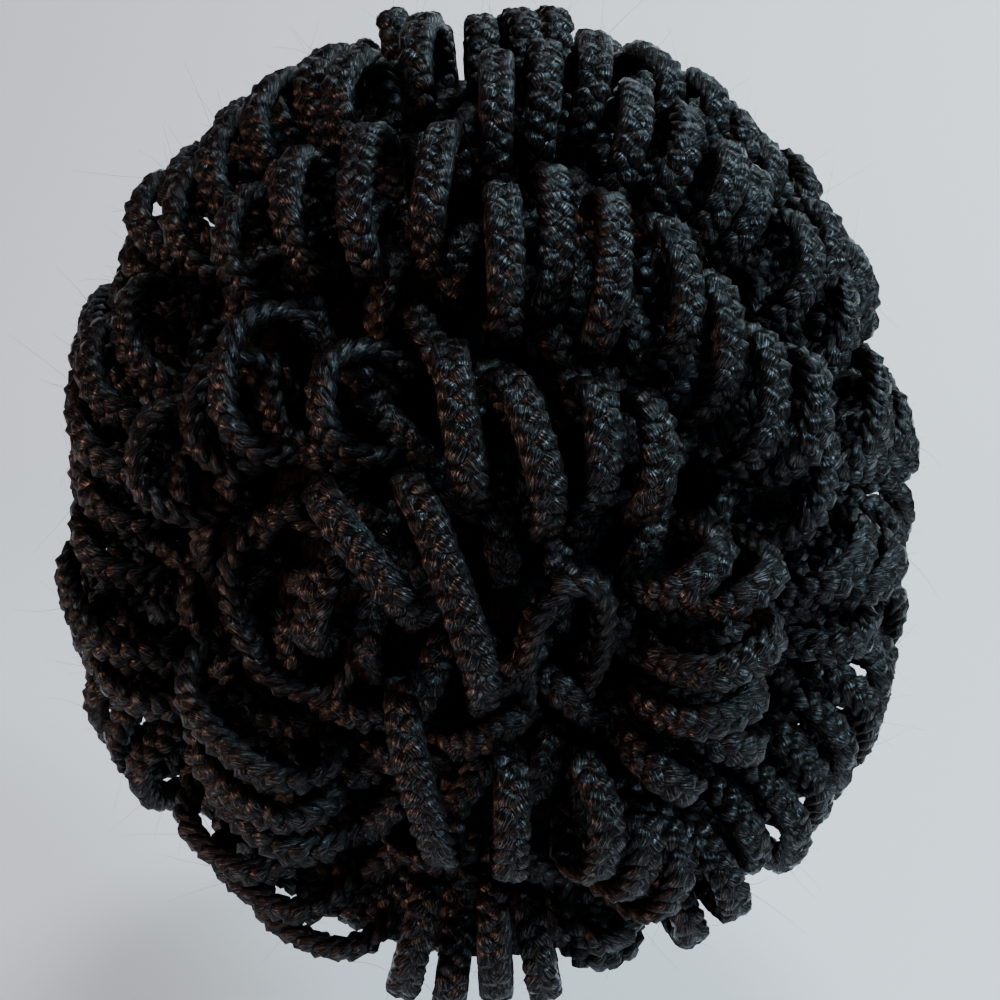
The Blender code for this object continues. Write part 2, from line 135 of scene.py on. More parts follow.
# The lights: where each stands and what it faces, in metres, its size, power and colour
Light = namedtuple("Light", "name place aim size power colour")
LIGHTS = (
    Light("left_lamp", (-0.85, -0.60, -0.20), (0.0, 0.0, -0.1), 0.20, 11.0, (1.0, 0.52, 0.35)),
    Light("right_window", (0.85, -0.55, 0.45), (0.0, 0.0, -0.1), 0.25, 21.0, (0.50, 0.80, 1.0)),
    Light("top_lamp", (0.15, -0.35, 1.1), (0.0, 0.0, -0.1), 0.32, 12.0, (0.74, 0.88, 1.0)),
    Light("backdrop_lamp", (0.9, 0.70, 1.0), (0.35, 1.3, -0.1), 1.0, 30.0, (0.61, 0.88, 1.0)),
    Light("left_wall_lamp", (-0.9, 0.55, 0.3), (-0.6, 1.6, -0.1), 0.6, 1.2, (1.0, 0.72, 0.66)),
)
AIR_COLOUR = (1.0, 0.91, 0.91)
AIR_STRENGTH = 0.22

# The head that the cap fits, and the cap's wall
HEAD_HALF_WIDTH = 0.077
HEAD_HALF_DEPTH = 0.097
CROWN_RISE = 0.093
NAPE_DROP = 0.098
CAP_WALL = 0.002

# The edge of the cap, as polar angles
EDGE_AT_NAPE = 148.0
EDGE_AT_EARS = 108.0
EDGE_AT_FOREHEAD = 60.0

# The flat braid and its loops
BRAID_WIDTH = 0.0084
BRAID_THICKNESS = 0.0050
LOOP_HEIGHT = 0.0215
LOOP_LENGTH = 0.0270
LOOP_SPACING = 0.0006
SEAT_GAP = 0.0003
LOOPS_IN_A_BRAID = 8

# How much narrower the braid is pinched where it is sewn down, its gap over the cap there and
# the height of its centre line
PINCHED = 0.75
FOOT_GAP = 0.0006
SEAT_RISE = 0.36 * PINCHED * BRAID_WIDTH + FOOT_GAP

# How much the heights of the loops differ, as a share
HEIGHT_SPREAD = 0.12

# How far inside the cap's edge a loop's foot stays
EDGE_MARGIN = 0.6 * BRAID_WIDTH

# How near another loop's point a bare place may lie
BARE_REACH = 0.7 * BRAID_WIDTH

# What a loop tries in turn to find room: its length, steps aside and slides along, as shares
LENGTH_TRIES = (0.85, 1.0, 1.15, 1.3)
PLACED_LENGTH_TRIES = (0.8, 0.9, 1.0)
SHORT_LENGTH_TRIES = (0.50, 0.60, 0.75)
SIDE_TRIES = (1.0, 1.1, 1.25, 1.4)
SLIDE_TRIES = (0.0, 0.15, -0.15, 0.3, -0.3)
NUDGES = tuple(
    (along, aside)
    for aside in (0.0, 0.4, -0.4, 0.8, -0.8)
    for along in (0.0, 0.5, -0.5, 1.0, -1.0)
)
SEEDS_TRIED = 2400

# Whorls: crests run out from the first one and circle round the second. Heights above a whorl
# are shares of half the head's depth.
STAR_WHORL = {"azimuth": 5.0, "polar": 97.0, "upright_above": 0.46}
RING_WHORL = {"azimuth": -21.0, "polar": 90.0, "full_reach": 26.0, "far_reach": 44.0,
              "up_reach": 0.31, "fade": 1.6}

# Deep places that no loop fills, with the radius as a share of a braid's width
HOLLOWS = (
    {"azimuth": -24, "polar": 93, "radius": 1.1},
    {"azimuth": 1, "polar": 98, "radius": 0.6},
)

# The row of loops that follows the cap's edge all round it: where it starts, in degrees
HAIRLINE_START = -66

# One arch from foot to foot: place along it as a share of half its length, then its height and
# the braid's fullness as shares
ARCH = (
    {"along": -0.62, "up": 0.00, "full": PINCHED},
    {"along": -1.00, "up": 0.52, "full": 0.92},
    {"along": -0.52, "up": 1.00, "full": 1.00},
    {"along": 0.52, "up": 1.00, "full": 1.00},
    {"along": 1.00, "up": 0.52, "full": 0.92},
    {"along": 0.62, "up": 0.00, "full": PINCHED},
)
ARCH_ALONG = np.array([[row["along"]] for row in ARCH])
ARCH_UP = np.array([[row["up"]] for row in ARCH])
ARCH_FULL = np.array([[row["full"]] for row in ARCH])

# Braids listed one by one. Turn is the angle of the crests from the line down the cap and fan is how
# much each next loop turns, both in degrees; side is the step to the next loop in braid widths;
# slide, length and height are shares of a loop's own; lean tips the loops sideways, in degrees;
# bow bends the crests sideways, as a share of their length.
Placed = namedtuple("Placed", "azimuth polar turn fan loops side slide length height lean bow")
PLACED_BRAIDS = (
    Placed(-3, 70, 10, 0, 1, 1.0, 0.0, 0.97, 1.00, 0, 0.0),
    Placed(-11, 67, 5, 0, 1, 1.0, 0.0, 0.75, 0.90, -50, 0.0),
    Placed(-26, 66, 8, 3, 3, -1.3, 0.03, 1.00, 1.00, -32, 0.0),
    Placed(-5, 87, 18, 0, 1, 1.0, 0.0, 1.50, 1.00, 0, 0.12),
    Placed(-10, 84, 40, 0, 1, 1.0, 0.0, 1.28, 1.00, 0, 0.12),
    Placed(-24, 90, 22, 0, 1, 1.0, 0.0, 1.32, 1.10, -75, 0.0),
    Placed(6, 103, 88, 0, 1, 1.0, 0.0, 0.50, 1.60, 74, 0.0),
    Placed(4, 73, 13, 0, 1, 1.0, 0.0, 1.10, 1.00, 0, 0.08),
    Placed(12, 75, -3, 0, 2, 1.1, 0.08, 0.75, 0.95, 0, 0.0),
    Placed(16, 86, -53, -7, 4, 1.2, 0.05, 0.75, 1.00, 0, 0.10),
    Placed(-25, 101, 54, 0, 3, -1.2, 0.0, 1.20, 1.00, 0, -0.08),
    Placed(-8, 107, 9, 0, 1, 1.0, 0.0, 1.30, 1.00, 0, 0.08),
    Placed(12, 108, 0, -4, 3, 1.1, 0.20, 0.85, 0.95, 0, 0.15),
    Placed(0, 112, 0, 0, 2, 1.1, 0.30, 0.80, 0.95, 0, 0.0),
    Placed(-29, 51, 24, -1, 3, 1.7, 0.0, 1.10, 1.00, 0, 0.0),
    Placed(-1, 55, 0, -1, 3, 1.0, 0.10, 1.00, 1.00, 0, 0.0),
    Placed(19, 58, -9, -2, 5, 1.05, 0.20, 0.95, 1.00, 0, 0.0),
    Placed(-3, 30, -2, -1, 7, 1.1, 0.10, 1.05, 1.00, 0, 0.0),
    Placed(-36, 30, 26, 1, 5, -1.1, 0.0, 1.00, 1.00, 0, 0.0),
    Placed(-38, 56, 14, 2, 4, -1.1, -0.10, 0.90, 1.00, 0, 0.0),
    Placed(-40, 120, 66, 0, 3, -1.1, 0.0, 1.00, 1.00, 0, 0.0),
)

# How the rest of the cap is filled, pass by pass: the least number of loops in a new braid, the
# lengths tried, how far the crests turn off their usual direction, in degrees, and the height as
# a share of a loop's own
Filling = namedtuple("Filling", "least tries turn height")
FILLING_PASSES = (
    Filling(3, LENGTH_TRIES, 0, 1.0),
    Filling(2, SHORT_LENGTH_TRIES, 0, 0.9),
    Filling(2, SHORT_LENGTH_TRIES, 60, 0.8),
    Filling(1, SHORT_LENGTH_TRIES, -60, 0.8),
)
MOST_BRAIDS = 58

UPPER_HALF = np.array([HEAD_HALF_WIDTH, HEAD_HALF_DEPTH, CROWN_RISE])
LOWER_HALF = np.array([HEAD_HALF_WIDTH, HEAD_HALF_DEPTH, NAPE_DROP])
HEAD_CENTRE = np.array([0.0, 0.0, -CROWN_RISE])

# How finely the cap is faceted: rows of faces round it, and rows over a whole ball of its shape
CAP_SEGMENTS = 96
CAP_RINGS = 64
HALF_A_RING = math.sin(math.pi / CAP_RINGS / 2)

# A length too short to matter, which keeps a direction from vanishing
TINY = 1e-9


def unit(vector):
    """The same direction with length one."""
    return vector / np.sqrt((vector * vector).sum(axis=-1, keepdims=True))


def sphere_point(azimuth, polar):
    """The point of the unit sphere at two angles in degrees."""
    a, p = math.radians(azimuth), math.radians(polar)
    return np.array([math.sin(p) * math.sin(a), -math.sin(p) * math.cos(a), math.cos(p)])


def half_axes(u, grow=CAP_WALL):
    """Half axes of the cap on the side of the widest level where u lies, by default outside."""
    return np.where(u[..., 2:3] > 0, UPPER_HALF, LOWER_HALF) + grow


def cap_point(u, grow=CAP_WALL):
    """The real place of u on the cap."""
    return HEAD_CENTRE + u * half_axes(u, grow)


def cap_normal(u):
    """The outward direction of the cap at u."""
    return unit(u / half_axes(u))


def move_over_cap(u, tangent, distance):
    """Moves u over the cap by a real distance in a real direction."""
    return unit(u + tangent * distance / half_axes(u))


def flattened(direction, normal):
    """A direction laid onto the cap."""
    return unit(direction - normal * (direction @ normal))


def edge_polar(azimuth):
    """Polar angle of the cap's edge at an azimuth in degrees."""
    middle = (EDGE_AT_NAPE + EDGE_AT_FOREHEAD) / 2
    level = (middle + EDGE_AT_EARS) / 2
    swing = (EDGE_AT_NAPE - EDGE_AT_FOREHEAD) / 2
    a = math.radians(azimuth)
    return level + swing * math.cos(a) + (middle - level) * math.cos(2 * a)


def distance_inside_edge(u):
    """How far u lies inside the cap's edge, measured down the cap."""
    azimuth = math.degrees(math.atan2(u[0], -u[1]))
    polar = math.degrees(math.acos(max(-1.0, min(1.0, u[2]))))
    return math.radians(edge_polar(azimuth) - polar) * HEAD_HALF_DEPTH


def down_the_cap(u):
    """The direction on the cap that leads away from the crown."""
    return flattened(np.array([0.0, -TINY, -1.0]), cap_normal(u))


def turned(direction, normal, degrees):
    """A direction on the cap turned round the normal; positive takes the lower end to +X."""
    a = math.radians(degrees)
    return direction * math.cos(a) + np.cross(normal, direction) * math.sin(a)


def crest_direction(u):
    """The direction of the crests: out from the star whorl, and round the ring whorl near it."""
    normal, place, down = cap_normal(u), cap_point(u), down_the_cap(u)
    star = cap_point(sphere_point(STAR_WHORL["azimuth"], STAR_WHORL["polar"]))
    ring_u = sphere_point(RING_WHORL["azimuth"], RING_WHORL["polar"])
    ring = cap_point(ring_u)
    upright = max(0.0, min(1.0, (place - star)[2] / (STAR_WHORL["upright_above"] * HEAD_HALF_DEPTH)))
    outward = flattened(place - star + down * TINY, normal)
    outward = unit(outward - down * upright * max(0.0, -normal[1]))
    around = unit(np.cross(normal, place - ring) + outward * TINY)
    if around @ outward < 0:
        around = -around
    away = math.degrees(math.acos(max(-1.0, min(1.0, u @ ring_u))))
    reach = RING_WHORL["far_reach"] - RING_WHORL["full_reach"]
    share = max(0.0, min(1.0, (RING_WHORL["far_reach"] - away) / reach))
    above = (place - ring)[2] / (RING_WHORL["up_reach"] * HEAD_HALF_DEPTH)
    share *= max(0.0, min(1.0, RING_WHORL["fade"] - above))
    return flattened(outward * (1 - share) + around * share, normal)


def arch_points(u, direction, size, length):
    """The centre line of one loop, from foot to foot, and which way the braid is wide."""
    lean = math.radians(size["lean"])
    feet = move_over_cap(u, direction, ARCH_ALONG * length / 2)
    normals = cap_normal(feet)
    sides = unit(np.cross(normals, direction))
    rise = SEAT_RISE + ARCH_UP * size["height"] * math.cos(lean)
    aside = ARCH_UP * size["height"] * math.sin(lean) + (1 - ARCH_ALONG ** 2) * size["bow"] * length
    wide = sides * math.cos(lean) - normals * math.sin(lean)
    return np.stack([cap_point(feet) + normals * rise + sides * aside, wide])


def stitch(start, end):
    """The stretch on the cap between two loops, where the braid stands on edge."""
    points = np.array([start, end])
    return np.stack([points, cap_normal((points - HEAD_CENTRE) / half_axes(points - HEAD_CENTRE))])


def shortest_gaps(starts_a, ends_a, starts_b, ends_b):
    """The shortest way between every segment of one set and every segment of another."""
    along_a, along_b = (ends_a - starts_a)[:, None, :], (ends_b - starts_b)[None, :, :]
    between = starts_a[:, None, :] - starts_b[None, :, :]
    a = (along_a * along_a).sum(-1)
    e = (along_b * along_b).sum(-1)
    b = (along_a * along_b).sum(-1)
    c = (along_a * between).sum(-1)
    f = (along_b * between).sum(-1)
    s = np.clip((b * f - c * e) / np.maximum(a * e - b * b, TINY ** 2), 0, 1)
    t = (b * s + f) / e
    t_kept = np.clip(t, 0, 1)
    s = np.where(t == t_kept, s, np.clip((b * t_kept - c) / a, 0, 1))
    return between + along_a * s[..., None] - along_b * t_kept[..., None]


def squared_up(wide, along):
    """The width direction made square to the braid's own direction."""
    return unit(wide - along * (wide * along).sum(-1, keepdims=True))


def section_reach(way, along, wide, full):
    """How far the flat section of a braid reaches from its centre line in a direction."""
    thick = np.cross(along, wide)
    flat = np.abs((way * thick).sum(-1)) + np.abs((way * along).sum(-1))
    return full * (np.abs((way * wide).sum(-1)) * BRAID_WIDTH + flat * BRAID_THICKNESS) / 2


class Layout:
    """The loops placed so far, as line segments, so that new loops can stay clear of them."""

    def __init__(self):
        far_away = np.full((1, 3), 10.0)
        self.kept = (far_away, far_away + 1.0, np.array([[1.0, -1.0, 0.0]]), np.ones(1))

    @staticmethod
    def segments(loop):
        """The starts, ends, width directions and fullness of a loop's segments."""
        points, wide = loop
        along = unit(points[1:] - points[:-1])
        full = ARCH_FULL[:, 0] if len(points) == len(ARCH) else np.full(len(points), PINCHED)
        return points[:-1], points[1:], squared_up(wide[1:] + wide[:-1], along), (full[1:] + full[:-1]) / 2

    def crowded(self, place):
        """Whether a place on the cap has a loop's foot on it already."""
        return np.linalg.norm(self.kept[0] - place, axis=1).min() < BARE_REACH

    def clear(self, loop, joined_at=None):
        """Whether a loop keeps clear of all that is placed, but for what it is joined to."""
        starts, ends, wide, full = self.kept
        middle = loop[0].mean(axis=0)
        reach = np.linalg.norm(loop[0] - middle, axis=1).max() + BRAID_WIDTH + SEAT_GAP
        near = np.linalg.norm((starts + ends) / 2 - middle, axis=1) < reach + LOOP_LENGTH / 2
        if joined_at is not None:
            near &= np.linalg.norm(starts - joined_at, axis=1) > TINY
            near &= np.linalg.norm(ends - joined_at, axis=1) > TINY
        if not near.any():
            return True
        own_starts, own_ends, own_wide, own_full = self.segments(loop)
        starts, ends, wide, full = starts[near], ends[near], wide[near], full[near]
        gaps = shortest_gaps(own_starts, own_ends, starts, ends)
        apart = np.linalg.norm(gaps, axis=-1)
        way = gaps / np.maximum(apart, TINY)[..., None]
        own_along, along = unit(own_ends - own_starts), unit(ends - starts)
        needed = section_reach(way, own_along[:, None], own_wide[:, None], own_full[:, None])
        needed = needed + section_reach(way, along[None], wide[None], full[None])
        return (apart - needed).min() > SEAT_GAP

    def add(self, loop):
        """Keeps a loop or a stitch."""
        pairs = zip(self.kept, self.segments(loop))
        self.kept = tuple(np.concatenate(pair) for pair in pairs)


def on_the_cap(u, direction, length):
    """Whether a loop's middle and both feet lie inside the cap's edge and out of the hollows."""
    for row in HOLLOWS:
        hollow = cap_point(sphere_point(row["azimuth"], row["polar"]))
        if np.linalg.norm(cap_point(u) - hollow) < row["radius"] * BRAID_WIDTH:
            return False
    foot = ARCH[-1]["along"] * length / 2
    places = [move_over_cap(u, direction, along) for along in (0.0, foot, -foot)]
    return min(distance_inside_edge(place) for place in places) > EDGE_MARGIN


def find_loop(layout, spot, direction, size):
    """The longest loop that fits at a spot, or nothing."""
    best = None
    for share in size["tries"]:
        length = size["length"] * share
        if not on_the_cap(spot, direction, length):
            break
        loop = arch_points(spot, direction, size, length)
        if not layout.clear(loop):
            break
        best = loop
    return best


def first_loop(layout, seed, rule, size):
    """The first loop of a braid, at its seed or nudged a little way off it."""
    direction = rule(seed, None, 1)
    aside = np.cross(cap_normal(seed), direction)
    for nudge_along, nudge_aside in size["nudges"]:
        spot = move_over_cap(seed, aside, nudge_aside * BRAID_WIDTH)
        spot = move_over_cap(spot, direction, nudge_along * BRAID_WIDTH)
        heading = rule(spot, None, 1)
        found = find_loop(layout, spot, heading, size)
        if found is not None:
            return spot, heading, found
    return None


def next_loop(layout, loop, side, rule, size, end):
    """The loop beside another one, stepped aside and slid along until it and its stitch fit."""
    spot, direction, last = loop
    aside = np.cross(cap_normal(spot), direction) * side
    pitch = PINCHED * BRAID_WIDTH + LOOP_SPACING
    for stretch in SIDE_TRIES:
        for slide in SLIDE_TRIES:
            there = move_over_cap(spot, aside, pitch * stretch)
            there = move_over_cap(there, direction, (slide + size["slide"]) * size["length"])
            heading = rule(there, direction, side)
            found = find_loop(layout, there, heading, size)
            if found is None:
                continue
            if layout.clear(stitch(last[0, end], found[0, end]), joined_at=last[0, end]):
                return there, heading, found
    return None


def grow_braid(layout, seed, rule, loops, size, chance):
    """Sets loops side by side from a seed, first to one side and then to the other.

    A stitch on the cap joins each loop to the next, at alternate ends, so the braid runs to and
    fro. Returns the loops in their order along the braid.
    """
    first = first_loop(layout, seed, rule, size)
    if first is None:
        return []
    layout.add(first[2])
    placed = {0: first}
    for way in (1, -1):
        number = 0
        while len(placed) < loops:
            height = size["height"] * (1 + HEIGHT_SPREAD * (2 * chance.random() - 1))
            varied = dict(size, height=height, slide=size["slide"] * way)
            end = -1 if (number % 2 == 0) == (way == 1) else 0
            found = next_loop(layout, placed[number], size["side"] * way, rule, varied, end)
            if found is None:
                break
            layout.add(found[2])
            layout.add(stitch(placed[number][2][0, end], found[2][0, end]))
            number += way
            placed[number] = found
    return [placed[number][2][:, :: 1 if number % 2 == 0 else -1] for number in sorted(placed)]


def placed_rule(row):
    """The rule for the crests of a listed braid: a first turn, then the fan."""
    def direction_at(u, before, side):
        normal = cap_normal(u)
        if before is None:
            return turned(down_the_cap(u), normal, row.turn)
        return turned(flattened(before, normal), normal, row.fan * side)
    return direction_at


def field_rule(turn):
    """The rule for the crests of the braids that fill the rest of the cap."""
    def direction_at(u, before, side):
        direction = turned(crest_direction(u), cap_normal(u), turn)
        if before is not None and before @ direction < 0:
            return -direction
        return direction
    return direction_at


def hairline_rule(u, before, side):
    """The rule for the crests along the hairline: square to the cap's edge."""
    azimuth = math.degrees(math.atan2(u[0], -u[1]))
    here = cap_point(sphere_point(azimuth, edge_polar(azimuth)))
    ahead = cap_point(sphere_point(azimuth + 1, edge_polar(azimuth + 1)))
    normal = cap_normal(u)
    return flattened(np.cross(ahead - here, normal), normal)


def spiral_seeds(count=SEEDS_TRIED):
    """Evenly spread points of the cap, from the star whorl outwards."""
    star = sphere_point(STAR_WHORL["azimuth"], STAR_WHORL["polar"])
    seeds = []
    for i in range(count):
        z = 1 - (2 * i + 1) / count
        a = i * math.pi * (3 - math.sqrt(5))
        r = math.sqrt(1 - z * z)
        u = np.array([r * math.cos(a), r * math.sin(a), z])
        if distance_inside_edge(u) > EDGE_MARGIN:
            seeds.append(u)
    seeds.sort(key=lambda u: -(u @ star))
    return seeds


def hairline_seeds():
    """Points in a row just inside the cap's edge, all round it."""
    inset = math.degrees((ARCH[-1]["along"] * LOOP_LENGTH / 2 + BRAID_WIDTH) / HEAD_HALF_DEPTH)
    azimuths = range(HAIRLINE_START, HAIRLINE_START + 360)
    return [sphere_point(azimuth, edge_polar(azimuth) - inset) for azimuth in azimuths]


def fill(braids, layout, seeds, rule, size, chance, least):
    """Adds braids of at least so many loops wherever the cap is still bare."""
    for seed in seeds:
        if len(braids) == MOST_BRAIDS or layout.crowded(cap_point(seed)):
            continue
        before = layout.kept
        placed = grow_braid(layout, seed, rule, LOOPS_IN_A_BRAID, size, chance)
        if len(placed) < least:
            layout.kept = before
        else:
            braids.append(placed)


def directions_along(line):
    """The direction of a line at each of its points, halfway between its two neighbours."""
    along = unit(np.diff(line, axis=0))
    return unit(np.vstack([along[:1], along[:-1] + along[1:], along[-1:]]))


def braid_line(loops):
    """The centre line of a whole braid and its width directions, its feet seated on the cap."""
    line, wide = np.concatenate(loops, axis=1)
    along = directions_along(line)
    wide = squared_up(wide, along)
    for index in range(1, len(line)):
        bend = np.cross(along[index - 1], along[index])
        if (wide[index - 1] + np.cross(bend, wide[index - 1])) @ wide[index] < 0:
            wide[index] = -wide[index]
    for index in range(len(line)):
        if ARCH[index % len(ARCH)]["up"] == 0.0:
            line[index] += foot_shift(line[index], along[index], wide[index])
    return line, wide


def foot_shift(place, along, wide):
    """How a foot of a loop moves so that the rim of its section just clears the cap."""
    normal = cap_normal((place - HEAD_CENTRE) / half_axes(place - HEAD_CENTRE))
    rim_dip = abs(wide @ normal) * BRAID_WIDTH + abs(np.cross(along, wide) @ normal) * BRAID_THICKNESS
    return normal * (PINCHED * rim_dip / 2 + FOOT_GAP - SEAT_RISE)


def lay_out_braids():
    """Places every loop and returns the centre line and width directions of each braid."""
    chance = np.random.RandomState(7)
    layout = Layout()
    braids = []
    for row in PLACED_BRAIDS:
        size = {"length": row.length * LOOP_LENGTH, "height": row.height * LOOP_HEIGHT,
                "lean": row.lean, "bow": row.bow, "slide": row.slide, "side": row.side,
                "tries": PLACED_LENGTH_TRIES, "nudges": NUDGES}
        seed = sphere_point(row.azimuth, row.polar)
        braids.append(grow_braid(layout, seed, placed_rule(row), row.loops, size, chance))
    size = {"length": LOOP_LENGTH, "height": LOOP_HEIGHT, "lean": 0.0, "bow": 0.0, "slide": 0.0,
            "side": 1, "tries": LENGTH_TRIES, "nudges": NUDGES[:1]}
    braids = [loops for loops in braids if loops]
    fill(braids, layout, hairline_seeds(), hairline_rule, size, chance, 3)
    seeds = spiral_seeds()
    for row in FILLING_PASSES:
        sized = dict(size, tries=row.tries, height=row.height * LOOP_HEIGHT)
        fill(braids, layout, seeds, field_rule(row.turn), sized, chance, row.least)
    return [braid_line(loops) for loops in braids]


def smooth_line(points, spacing):
    """A smooth curve through points in even steps, with the places of the steps and points on it."""
    ends = np.vstack([2 * points[0] - points[1], points, 2 * points[-1] - points[-2]])
    before, start, end, after = ends[:-3], ends[1:-2], ends[2:-1], ends[3:]
    shares = np.linspace(0, 1, STEPS_A_SPAN, endpoint=False)[:, None]
    spans = []
    for a, b, c, d in zip(before, start, end, after):
        curve = 2 * b + (c - a) * shares + (2 * a - 5 * b + 4 * c - d) * shares ** 2
        spans.append((curve + (3 * b - a - 3 * c + d) * shares ** 3) / 2)
    fine = np.vstack(spans + [points[-1:]])
    walked = np.concatenate([[0.0], np.cumsum(np.linalg.norm(np.diff(fine, axis=0), axis=1))])
    count = max(LEAST_RINGS, int(walked[-1] / spacing))
    places = np.linspace(0, walked[-1], count)
    return followed(places, walked, fine), places, walked[::STEPS_A_SPAN]


def followed(places, known_at, known):
    """Points or directions at places along a line, from those known at some places."""
    return np.stack([np.interp(places, known_at, known[:, axis]) for axis in range(3)], axis=1)


def tangents_of(line):
    """The direction of a line at each of its points."""
    return unit(np.gradient(line, axis=0))


def tube_faces(rings, sides, first):
    """Four-cornered faces between rings of points, numbered from the first point."""
    ring = np.arange(rings - 1)[:, None] * sides
    corner = np.arange(sides)[None, :]
    following = (corner + 1) % sides
    next_ring = ring + sides
    faces = [ring + corner, ring + following, next_ring + following, next_ring + corner]
    return np.stack(faces, axis=-1).reshape(-1, 4) + first


def mesh_from_tubes(name, tubes, sides):
    """One mesh from tubes: rings of points, with lengths round and along them as the UV map."""
    points, faces, ends, uvs = [], [], [], []
    first = 0
    for rings, around, along in tubes:
        count = len(rings)
        points.append(rings.reshape(-1, 3))
        faces.append(tube_faces(count, sides, first))
        ends += [first + np.arange(sides)[::-1], first + (count - 1) * sides + np.arange(sides)]
        left = np.arange(sides) / sides * around
        right = (np.arange(sides) + 1) / sides * around
        low, high = along[:-1, None], along[1:, None]
        face = [np.stack(np.broadcast_arrays(*corner), axis=-1)
                for corner in ((left, low), (right, low), (right, high), (left, high))]
        uvs.append(np.stack(face, axis=2).reshape(-1, 2))
        first += count * sides
    points, faces = np.vstack(points), np.vstack(faces)
    mesh = bpy.data.meshes.new(name)
    mesh.vertices.add(len(points))
    mesh.vertices.foreach_set("co", points.ravel())
    corners = np.concatenate([faces.ravel()] + ends)
    totals = np.concatenate([np.full(len(faces), 4), np.full(len(ends), sides)])
    mesh.loops.add(len(corners))
    mesh.loops.foreach_set("vertex_index", corners)
    mesh.polygons.add(len(totals))
    mesh.polygons.foreach_set("loop_start", np.concatenate([[0], np.cumsum(totals)[:-1]]))
    mesh.polygons.foreach_set("loop_total", totals)
    uvs = np.vstack(uvs + [np.zeros((len(ends) * sides, 2))])
    mesh.uv_layers.new(name="strand").data.foreach_set("uv", uvs.ravel())
    mesh.update(calc_edges=True)
    mesh.validate()
    mesh.shade_smooth()
    return mesh


def strand_tube(path, phase, size, corners, chance):
    """One of the three strands of a plait, as rings of points; it is fullest where it lies on top."""
    depths = np.cross(path.along, path.wide)
    turn = 2 * math.pi * path.places / size.plait_length + phase
    across = (BRAID_WIDTH - size.strand_width) / 2 * path.full * np.sin(turn)
    through = (size.braid_depth - size.strand_depth) / 2 * path.full * np.sin(2 * turn)
    centre = path.line + path.wide * across[:, None] + depths * through[:, None]
    runs = tangents_of(centre)
    widths = unit(np.cross(runs, depths))
    heights = np.cross(runs, widths)
    knots = np.linspace(0, path.places[-1], SWELLINGS_A_STRAND)
    uneven = chance.random(SWELLINGS_A_STRAND) * 2 - 1
    swell = 1 + size.unevenness * np.interp(path.places, knots, uneven)
    swell = swell * path.full * (1 - size.beading * np.cos(4 * turn))
    around = np.arange(corners) * 2 * math.pi / corners
    wide = widths[:, None, :] * np.cos(around)[:, None] * size.strand_width / 2
    deep = heights[:, None, :] * np.sin(around)[:, None] * size.strand_depth / 2
    rings = centre[:, None, :] + (wide + deep) * swell[:, None, None]
    length = math.pi * (size.strand_width + size.strand_depth) / 2
    return rings, length * MILLIMETRES, (path.places + chance.random()) * MILLIMETRES


def plait_path(points, wide, full, size, rings, chance):
    """The fine centre line of a braid, with its directions and fullness along it."""
    line, places, knots = smooth_line(points, size.plait_length / rings)
    along = tangents_of(line)
    sides = squared_up(followed(places, knots, wide), along)
    turns = math.radians(size.twist) * (2 * chance.random(len(knots)) - 1)
    angles = np.interp(places, knots, turns)[:, None]
    sides = sides * np.cos(angles) + np.cross(along, sides) * np.sin(angles)
    return Path(line, along, sides, np.interp(places, knots, full), places)


def plait_tubes(path, size, corners, chance):
    """The three strands of a plait."""
    start = chance.random() * 2 * math.pi
    return [strand_tube(path, start + 2 * math.pi * strand / 3, size, corners, chance)
            for strand in range(3)]


def low_line(spot, direction, size, rise):
    """The centre line of a low braid that arches a little off the cap, and its width directions."""
    shares = np.linspace(-1, 1, LOW_LINE_POINTS)[:, None]
    places = move_over_cap(spot, direction, shares * size.length / 2)
    normals = cap_normal(places)
    height = size.foot_rise + (rise - size.foot_rise) * (1 - shares ** 2)
    return cap_point(places) + normals * height, np.cross(normals, direction)


def loose_hair(start, direction, outward, length, width, chance):
    """One fine hair that springs off a braid, as rings of points."""
    shares = np.linspace(0, 1, HAIR_RINGS)[:, None]
    bend = unit(chance.normal(size=3) + outward * 0.5) * length * HAIR_BEND
    line = start + direction * length * shares + bend * shares ** 2
    tangents = tangents_of(line)
    sides = unit(np.cross(tangents, outward + chance.normal(size=3) * 0.1))
    depths = np.cross(tangents, sides)
    around = np.arange(HAIR_SIDES) * 2 * math.pi / HAIR_SIDES
    radius = width / 2 * (1 - HAIR_TAPER * shares[:, :, None])
    ring = sides[:, None, :] * np.cos(around)[:, None] + depths[:, None, :] * np.sin(around)[:, None]
    rings = line[:, None, :] + ring * radius
    return rings, math.pi * width * MILLIMETRES, shares[:, 0] * length * MILLIMETRES


def new_material(name):
    """A material with its node tree and its Principled shader."""
    material = bpy.data.materials.new(name)
    material.use_nodes = True
    return material, material.node_tree, material.node_tree.nodes["Principled BSDF"]


def set_inputs(tree, node, inputs):
    """Sets a node's inputs by name or number: a socket is linked, and anything else is a value."""
    for name, value in inputs.items():
        if isinstance(value, bpy.types.NodeSocket):
            tree.links.new(value, node.inputs[name])
        else:
            node.inputs[name].default_value = value


def new_node(tree, kind, inputs):
    """A shader node of a kind with its inputs set."""
    node = tree.nodes.new("ShaderNode" + kind)
    set_inputs(tree, node, inputs)
    return node


def scaled(tree, output, factor):
    """A number multiplied by another."""
    node = new_node(tree, "Math", {0: output, 1: factor})
    node.operation = "MULTIPLY"
    return node.outputs[0]


